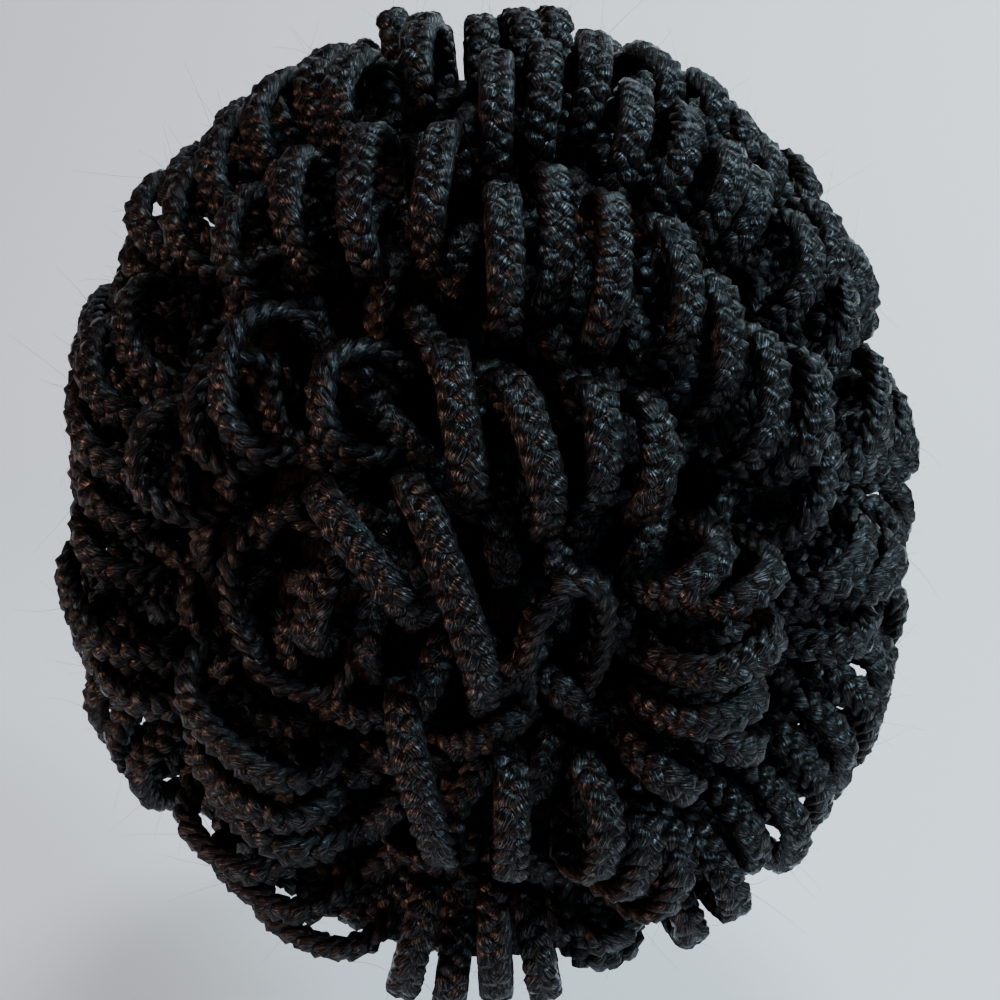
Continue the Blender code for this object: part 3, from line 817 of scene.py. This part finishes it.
def fibre_group():
    """Fine fibres that run along a strand, as a mask, a height and a slow change of shade."""
    group = bpy.data.node_groups.new("fibres", "ShaderNodeTree")
    group.interface.new_socket(name="Vector", in_out="INPUT", socket_type="NodeSocketVector")
    for name, value in FIBRE_SCALES.items():
        socket = group.interface.new_socket(name=name, in_out="INPUT", socket_type="NodeSocketFloat")
        socket.default_value = value
    for name in ("Height", "Glint", "Shade"):
        group.interface.new_socket(name=name, in_out="OUTPUT", socket_type="NodeSocketFloat")
    entry, leave = group.nodes.new("NodeGroupInput"), group.nodes.new("NodeGroupOutput")
    parts = new_node(group, "SeparateXYZ", {0: entry.outputs["Vector"]})
    across = scaled(group, parts.outputs[0], entry.outputs["Across"])
    along = scaled(group, parts.outputs[1], entry.outputs["Along"])
    layers = []
    for row in FIBRE_LAYERS:
        joined = new_node(group, "CombineXYZ", {0: scaled(group, across, row.across),
                                                1: scaled(group, along, row.along)})
        noise = new_node(group, "TexNoise", {
            "Scale": 1.0, "Detail": row.detail, "Roughness": 0.6, "Distortion": entry.outputs["Warp"]})
        noise.noise_dimensions = "2D"
        group.links.new(joined.outputs[0], noise.inputs["Vector"])
        layers.append(noise.outputs["Fac"])
    coarse, fine, shade = layers
    height = new_node(group, "Mix", {"Factor": FINE_SHARE, "A": coarse, "B": fine}).outputs["Result"]
    glint = ranged(group, height, GLINT_FROM, GLINT_TO, 0.0, 1.0)
    set_inputs(group, leave, {"Height": height, "Glint": glint, "Shade": shade})
    return group


def mixed_colour(tree, mask, low, high):
    """A colour between two by a mask. Each is a socket or three channels."""
    low, high = (end if isinstance(end, bpy.types.NodeSocket) else (*end, 1.0) for end in (low, high))
    node = tree.nodes.new("ShaderNodeMix")
    node.data_type = "RGBA"
    set_inputs(tree, node, {"Factor": mask, MIX_LOW: low, MIX_HIGH: high})
    return node.outputs[MIX_RESULT]


def ranged(tree, value, low, high, to_low, to_high):
    """A value carried from one range to another."""
    return new_node(tree, "MapRange", {"Value": value, "From Min": low, "From Max": high,
                                       "To Min": to_low, "To Max": to_high}).outputs["Result"]


def bumped(tree, height, strength):
    """A normal that follows a height."""
    return new_node(tree, "Bump", {"Strength": strength, "Distance": RELIEF,
                                   "Height": height}).outputs["Normal"]


def hair_material(name, colours, fibres):
    """Near-black hair: fibres along the strand; on a random fibre mask the shine is stronger and the colour
    is painted a lighter brown as painted glints.
    """
    material, tree, shader = new_material(name)
    strand = new_node(tree, "UVMap", {})
    strand.uv_map = "strand"
    streaks = new_node(tree, "Group", {})
    streaks.node_tree = fibres
    tree.links.new(strand.outputs["UV"], streaks.inputs["Vector"])
    around = new_node(tree, "Tangent", {})
    around.direction_type = "UV_MAP"
    around.uv_map = "strand"
    glint = streaks.outputs["Glint"]
    shade = ranged(tree, streaks.outputs["Shade"], SHADE_FROM, SHADE_TO, 0.0, 1.0)
    ground = mixed_colour(tree, shade, colours.hair_colour, colours.brown_colour)
    # The glint mask paints the base colour lighter, a painted glint, and also raises the real shine of
    # those fibres
    set_inputs(tree, shader, {
        "Base Color": mixed_colour(tree, glint, ground, colours.glint_colour),
        "Roughness": colours.roughness,
        "Specular IOR Level": ranged(tree, glint, 0.0, 1.0, colours.ground_shine, colours.glint_shine),
        "Anisotropic": STRETCHED_SHINE,
        "Tangent": around.outputs["Tangent"],
        "Normal": bumped(tree, streaks.outputs["Height"], 0.5),
    })
    return material


def cloth_material(name, colour, knit_size):
    """Dark stretch net: small cells with a raised thread between them. Its nearly black colour is the cap's
    own dark net and also painted shade, so bare cap between the loops reads as deep shadow.
    """
    material, tree, shader = new_material(name)
    place = new_node(tree, "TexCoord", {})
    net = tree.nodes.new("ShaderNodeTexVoronoi")
    net.feature = "DISTANCE_TO_EDGE"
    set_inputs(tree, net, {"Vector": place.outputs["Object"], "Scale": 1 / knit_size, "Randomness": 0.35})
    thread = ranged(tree, net.outputs["Distance"], 0.04, 0.22, 1.0, 0.0)
    lighter = tuple(channel * 2.2 for channel in colour)
    set_inputs(tree, shader, {
        "Base Color": mixed_colour(tree, thread, colour, lighter),
        "Roughness": ranged(tree, thread, 0.0, 1.0, 0.95, 0.7),
        "Specular IOR Level": 0.05,
        "Normal": bumped(tree, thread, 0.8),
    })
    return material


def plain_material(name, colour, roughness):
    """A matt stage surface with a faint unevenness."""
    material, tree, shader = new_material(name)
    place = new_node(tree, "TexCoord", {})
    noise = new_node(tree, "TexNoise", {"Vector": place.outputs["Object"], "Scale": 3.0})
    darker = tuple(channel * 0.985 for channel in colour)
    set_inputs(tree, shader, {
        "Base Color": mixed_colour(tree, noise.outputs["Fac"], darker, colour),
        "Roughness": roughness,
    })
    return material


def edit_chosen(made, kind, chosen, action):
    """Runs a mesh operation on the chosen vertices or edges of the active object."""
    bpy.ops.object.mode_set(mode="EDIT")
    bpy.ops.mesh.select_mode(type=kind)
    bpy.ops.mesh.select_all(action="DESELECT")
    bpy.ops.object.mode_set(mode="OBJECT")
    for item in made.data.vertices if kind == "VERT" else made.data.edges:
        item.select = chosen(item)
    bpy.ops.object.mode_set(mode="EDIT")
    action()
    bpy.ops.object.mode_set(mode="OBJECT")


def linked(name, mesh, material):
    """An object in the scene from a mesh, with its material."""
    mesh.materials.append(material)
    made = bpy.data.objects.new(name, mesh)
    bpy.context.scene.collection.objects.link(made)
    return made


def a_number(name, value, description):
    """A number without a unit."""
    return bpy.props.FloatProperty(name=name, description=description, default=value)


def a_length(name, value, description):
    """A length in metres."""
    return bpy.props.FloatProperty(name=name, description=description, default=value, unit="LENGTH")


def a_count(name, value, description):
    """A whole number."""
    return bpy.props.IntProperty(name=name, description=description, default=value)


def a_colour(name, value, description):
    """A colour."""
    return bpy.props.FloatVectorProperty(name=name, description=description, default=value, subtype="COLOR")


class BraidSettings(bpy.types.PropertyGroup):
    strand_width: a_length("Strand width", 0.0047, "Width of one strand across the braid")
    strand_depth: a_length("Strand depth", 0.0031, "Thickness of one strand")
    braid_depth: a_length("Braid depth", 0.0056, "Thickness of the whole braid")
    plait_length: a_length("Plait length", 0.0120, "Length in which a strand crosses over and back")
    unevenness: a_number("Unevenness", 0.07, "How much a strand swells and thins, as a share")
    beading: a_number("Beading", 0.15, "How much fuller a strand is where it lies on top, as a share")
    twist: a_number("Twist", 10.0, "How far a loop may turn about its own length, in degrees")
    hair_colour: a_colour("Hair colour", (0.0011, 0.0011, 0.0014), "Ground colour of the hair")
    brown_colour: a_colour("Brown colour", (0.0030, 0.0018, 0.0014), "Colour of the browner strands")
    # Painted glint: the lighter colour painted on the fibres of the glint mask
    glint_colour: a_colour("Glint colour", (0.016, 0.011, 0.009), "Colour of the lit fibres")
    roughness: a_number("Roughness", 0.33, "How wide the hair spreads the light")
    ground_shine: a_number("Ground shine", 0.045, "Strength of the reflection between the lit fibres")
    glint_shine: a_number("Glint shine", 0.9, "Strength of the reflection of the lit fibres")


class CapSettings(bpy.types.PropertyGroup):
    # Nearly black: the cap's own dark net and painted shade of the deep gaps between the loops
    cloth_colour: a_colour("Cloth colour", (0.0007, 0.0006, 0.0008), "Colour of the cap")
    knit_size: a_length("Knit size", 0.0014, "Size of one cell of the net")


class LowBraidSettings(bpy.types.PropertyGroup):
    tried: a_count("Places tried", 430, "Places over a whole ball, of which those on the cap are used")
    length: a_length("Length", 0.022, "Length of a low braid")
    rise: a_length("Rise", 0.0085, "Height of its middle over the cap")
    edge_rise: a_length("Edge rise", 0.0155, "Height of the middle of those along the edge")
    edge_step: a_count("Edge step", 4, "Degrees between those along the edge")
    foot_rise: a_length("Foot rise", 0.0024, "Height of its ends over the cap")
    turn: a_number("Turn", 40.0, "How far it may turn off the crests, in degrees")
    full: a_number("Fullness", 0.9, "Its width as a share of a braid's own")


class LooseHairSettings(bpy.types.PropertyGroup):
    hairs: a_count("Hairs", 3900, "How many loose hairs spring off")
    hair_width: a_length("Hair width", 0.00011, "Thickness of a loose hair")
    longest: a_length("Longest", 0.018, "Length of the longest loose hair")
    reach: a_length("Reach", 0.006, "How far a loose hair may stand out of the solids' box")


class StageSettings(bpy.types.PropertyGroup):
    floor_colour: a_colour("Floor colour", (0.81, 0.735, 0.73), "Colour of the floor and backdrop")
    floor_drop: a_length("Floor drop", 0.27, "Height of the floor below the crown")
    elevation: a_number("Camera elevation", 12.0, "How far the camera looks down, in degrees")
    distance: a_length("Camera distance", 0.45, "From the camera to the middle of the head")
    lens: a_number("Lens", 63.0, "Focal length on a 36 mm wide picture, in millimetres")
    shift: a_number("Shift", 0.012, "Sideways shift of the picture, as a share of its width")


class BRAID_WIG_OT_add_cap(bpy.types.Operator):
    """Models the soft cap that carries the braids"""
    bl_idname = "braid_wig.add_cap"
    bl_label = "Add cap"

    def execute(self, context):
        settings = context.scene.braid_wig_cap
        bpy.ops.mesh.primitive_uv_sphere_add(segments=CAP_SEGMENTS, ring_count=CAP_RINGS, radius=1.0)
        cap = context.object
        cap.name = "stretch_cap"
        edit_chosen(cap, "VERT", lambda vertex: vertex.co.z < -HALF_A_RING,
                    lambda: bpy.ops.mesh.delete(type="VERT"))
        for vertex in cap.data.vertices:
            azimuth = math.degrees(math.atan2(vertex.co.x, -vertex.co.y))
            share = math.acos(max(-1.0, min(1.0, vertex.co.z))) / (math.pi / 2)
            vertex.co = cap_point(sphere_point(azimuth, share * edge_polar(azimuth)), 0.0)
        wall = cap.modifiers.new("Wall", "SOLIDIFY")
        wall.thickness = CAP_WALL
        wall.offset = 1.0
        wall.use_even_offset = True
        bpy.ops.object.modifier_apply(modifier="Wall")
        bpy.ops.object.shade_smooth_by_angle(angle=math.radians(50))
        cap.data.materials.clear()
        cap.data.materials.append(cloth_material("cap_net", settings.cloth_colour, settings.knit_size))
        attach(cap, "root")
        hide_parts("wig_cap")
        return {"FINISHED"}


class BRAID_WIG_OT_add_braids(bpy.types.Operator):
    """Plaits every length of braid from three strands"""
    bl_idname = "braid_wig.add_braids"
    bl_label = "Add braids"

    def execute(self, context):
        settings = context.scene.braid_wig_braids
        chance = np.random.RandomState(11)
        material = hair_material("plaited_hair", settings, fibre_group())
        for number, (points, wide) in enumerate(lay_out_braids(), start=1):
            node = f"braid_{number:02d}"
            full = np.tile(ARCH_FULL[:, 0], len(points) // len(ARCH))
            path = plait_path(points, wide, full, settings, RINGS_A_PLAIT, chance)
            tubes = plait_tubes(path, settings, STRAND_SIDES, chance)
            name = f"plait_{number:02d}"
            plait = linked(name, mesh_from_tubes(name, tubes, STRAND_SIDES), material)
            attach(plait, "root")
            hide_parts(node)
        return {"FINISHED"}


class BRAID_WIG_OT_add_low_braids(bpy.types.Operator):
    """Lays short low braids on the cap, which close the valleys between the loops"""
    bl_idname = "braid_wig.add_low_braids"
    bl_label = "Add low braids"

    def execute(self, context):
        settings = context.scene.braid_wig_low_braids
        chance = np.random.RandomState(5)
        lines = []
        for spot in spiral_seeds(settings.tried):
            turn = settings.turn * (2 * chance.random() - 1)
            direction = turned(crest_direction(spot), cap_normal(spot), turn)
            lines.append(low_line(spot, direction, settings, settings.rise))
        self.lay(context, "low_braids", lines, chance)
        edge = hairline_seeds()[::settings.edge_step]
        lines = [low_line(spot, hairline_rule(spot, None, 1), settings, settings.edge_rise)
                 for spot in edge]
        self.lay(context, "edge_braids", lines, chance)
        return {"FINISHED"}

    def lay(self, context, name, lines, chance):
        """Plaits low braids along their lines, as one mesh."""
        settings, braids = context.scene.braid_wig_low_braids, context.scene.braid_wig_braids
        tubes = []
        for points, wide in lines:
            full = np.full(len(points), settings.full)
            path = plait_path(points, wide, full, braids, LOW_RINGS_A_PLAIT, chance)
            tubes += plait_tubes(path, braids, LOW_STRAND_SIDES, chance)
        hair = bpy.data.materials["plaited_hair"]
        low = linked(name, mesh_from_tubes(name, tubes, LOW_STRAND_SIDES), hair)
        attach(low, "root")


class BRAID_WIG_OT_add_loose_hairs(bpy.types.Operator):
    """Lets fine hairs spring off the braids"""
    bl_idname = "braid_wig.add_loose_hairs"
    bl_label = "Add loose hairs"

    def execute(self, context):
        settings, braids = context.scene.braid_wig_loose_hairs, context.scene.braid_wig_braids
        chance = np.random.RandomState(23)
        plaits = [item for item in context.scene.objects if item.name.startswith("plait_")]
        total = sum(len(plait.data.vertices) for plait in plaits)
        lowest = np.array(CAD_BOX[0]) - settings.reach
        highest = np.array(CAD_BOX[1]) + settings.reach
        tubes = []
        for plait in plaits:
            count = len(plait.data.vertices)
            places, normals = np.empty(count * 3), np.empty(count * 3)
            plait.data.vertices.foreach_get("co", places)
            plait.data.vertices.foreach_get("normal", normals)
            places, normals = places.reshape(-1, 3), normals.reshape(-1, 3)
            for _ in range(round(settings.hairs * count / total)):
                index = int(chance.random() * (count - STRAND_SIDES - 1))
                start, outward = places[index], unit(places[index] - HEAD_CENTRE)
                along = unit(places[index + STRAND_SIDES] - start)
                lift = normals[index] * HAIR_LIFT * chance.random()
                direction = unit(along + lift + outward * HAIR_SPREAD * chance.random())
                share = SHORTEST_HAIR + (1 - SHORTEST_HAIR) * chance.random() ** 4
                length = settings.longest * share
                hair = loose_hair(start, direction, outward, length, settings.hair_width, chance)
                if (hair[0] > lowest).all() and (hair[0] < highest).all():
                    tubes.append(hair)
        material = hair_material("loose_hair", braids, bpy.data.node_groups["fibres"])
        hairs = linked("loose_hairs", mesh_from_tubes("loose_hairs", tubes, HAIR_SIDES), material)
        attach(hairs, "root")
        return {"FINISHED"}


class BRAID_WIG_OT_add_stage(bpy.types.Operator):
    """Sets the floor with its backdrop, the lights and the camera"""
    bl_idname = "braid_wig.add_stage"
    bl_label = "Add stage"

    def execute(self, context):
        settings = context.scene.braid_wig_stage
        place = (0.0, FLOOR_SET_BACK, -settings.floor_drop)
        bpy.ops.mesh.primitive_plane_add(size=FLOOR_SIDE, location=place)
        floor = context.object
        floor.name = "floor_and_backdrop"

        def at_the_back(edge):
            ends = [floor.data.vertices[number].co for number in edge.vertices]
            return all(end.y > 0 and end.z < WALL_HEIGHT / 2 for end in ends)

        edit_chosen(floor, "EDGE", at_the_back, lambda: bpy.ops.mesh.extrude_region_move(
            TRANSFORM_OT_translate={"value": (0.0, 0.0, WALL_HEIGHT)}))
        edit_chosen(floor, "EDGE", at_the_back, lambda: bpy.ops.mesh.bevel(
            offset=FOLD_RADIUS, segments=FOLD_STEPS))
        bpy.ops.object.transform_apply(location=True)
        bpy.ops.object.shade_smooth()
        floor.data.materials.append(plain_material("studio_paper", settings.floor_colour, 0.9))
        self.add_lights(context)
        self.add_camera(context, settings)
        return {"FINISHED"}

    def add_lights(self, context):
        """Soft studio light: warm from the left, cool from the right and above."""
        for row in LIGHTS:
            light = bpy.data.lights.new(row.name, "AREA")
            light.shape = "DISK"
            light.size, light.energy, light.color = row.size, row.power, row.colour
            lamp = bpy.data.objects.new(row.name, light)
            lamp.location = row.place
            facing = Vector(row.aim) - Vector(row.place)
            lamp.rotation_euler = facing.to_track_quat("-Z", "Y").to_euler()
            context.scene.collection.objects.link(lamp)
        world = bpy.data.worlds.new("studio_air")
        world.use_nodes = True
        air = world.node_tree.nodes["Background"]
        air.inputs["Color"].default_value = (*AIR_COLOUR, 1.0)
        air.inputs["Strength"].default_value = AIR_STRENGTH
        context.scene.world = world

    def add_camera(self, context, settings):
        """The camera at the height and nearness of the picture."""
        camera = bpy.data.cameras.new("picture_camera")
        camera.lens = settings.lens
        camera.shift_x = settings.shift
        camera.clip_start = 0.01
        holder = bpy.data.objects.new("picture_camera", camera)
        rise = math.radians(settings.elevation)
        back = np.array([0.0, -math.cos(rise), math.sin(rise)])
        holder.location = HEAD_CENTRE + back * settings.distance
        holder.rotation_euler = (math.pi / 2 - rise, 0.0, 0.0)
        context.scene.collection.objects.link(holder)
        context.scene.camera = holder


class BRAID_WIG_PT_panel(bpy.types.Panel):
    """Lists the steps that dress the braid wig"""
    bl_label = "Braid wig"
    bl_idname = "BRAID_WIG_PT_panel"
    bl_space_type = "VIEW_3D"
    bl_region_type = "UI"
    bl_category = "Braid wig"

    def draw(self, context):
        for step in STEPS:
            box = self.layout.box()
            box.operator(step.operator.bl_idname)
            settings = getattr(context.scene, step.name)
            for name in step.group.__annotations__:
                box.prop(settings, name)


Step = namedtuple("Step", "operator name group")
STEPS = (
    Step(BRAID_WIG_OT_add_cap, "braid_wig_cap", CapSettings),
    Step(BRAID_WIG_OT_add_braids, "braid_wig_braids", BraidSettings),
    Step(BRAID_WIG_OT_add_low_braids, "braid_wig_low_braids", LowBraidSettings),
    Step(BRAID_WIG_OT_add_loose_hairs, "braid_wig_loose_hairs", LooseHairSettings),
    Step(BRAID_WIG_OT_add_stage, "braid_wig_stage", StageSettings),
)


def register():
    for step in STEPS:
        bpy.utils.register_class(step.group)
        setattr(bpy.types.Scene, step.name, bpy.props.PointerProperty(type=step.group))
        bpy.utils.register_class(step.operator)
    bpy.utils.register_class(BRAID_WIG_PT_panel)


def unregister():
    bpy.utils.unregister_class(BRAID_WIG_PT_panel)
    for step in reversed(STEPS):
        bpy.utils.unregister_class(step.operator)
        delattr(bpy.types.Scene, step.name)
        bpy.utils.unregister_class(step.group)


def main():
    register()
    bpy.ops.braid_wig.add_cap()
    bpy.ops.braid_wig.add_braids()
    bpy.ops.braid_wig.add_low_braids()
    bpy.ops.braid_wig.add_loose_hairs()
    bpy.ops.braid_wig.add_stage()


if __name__ == "__main__":
    main()
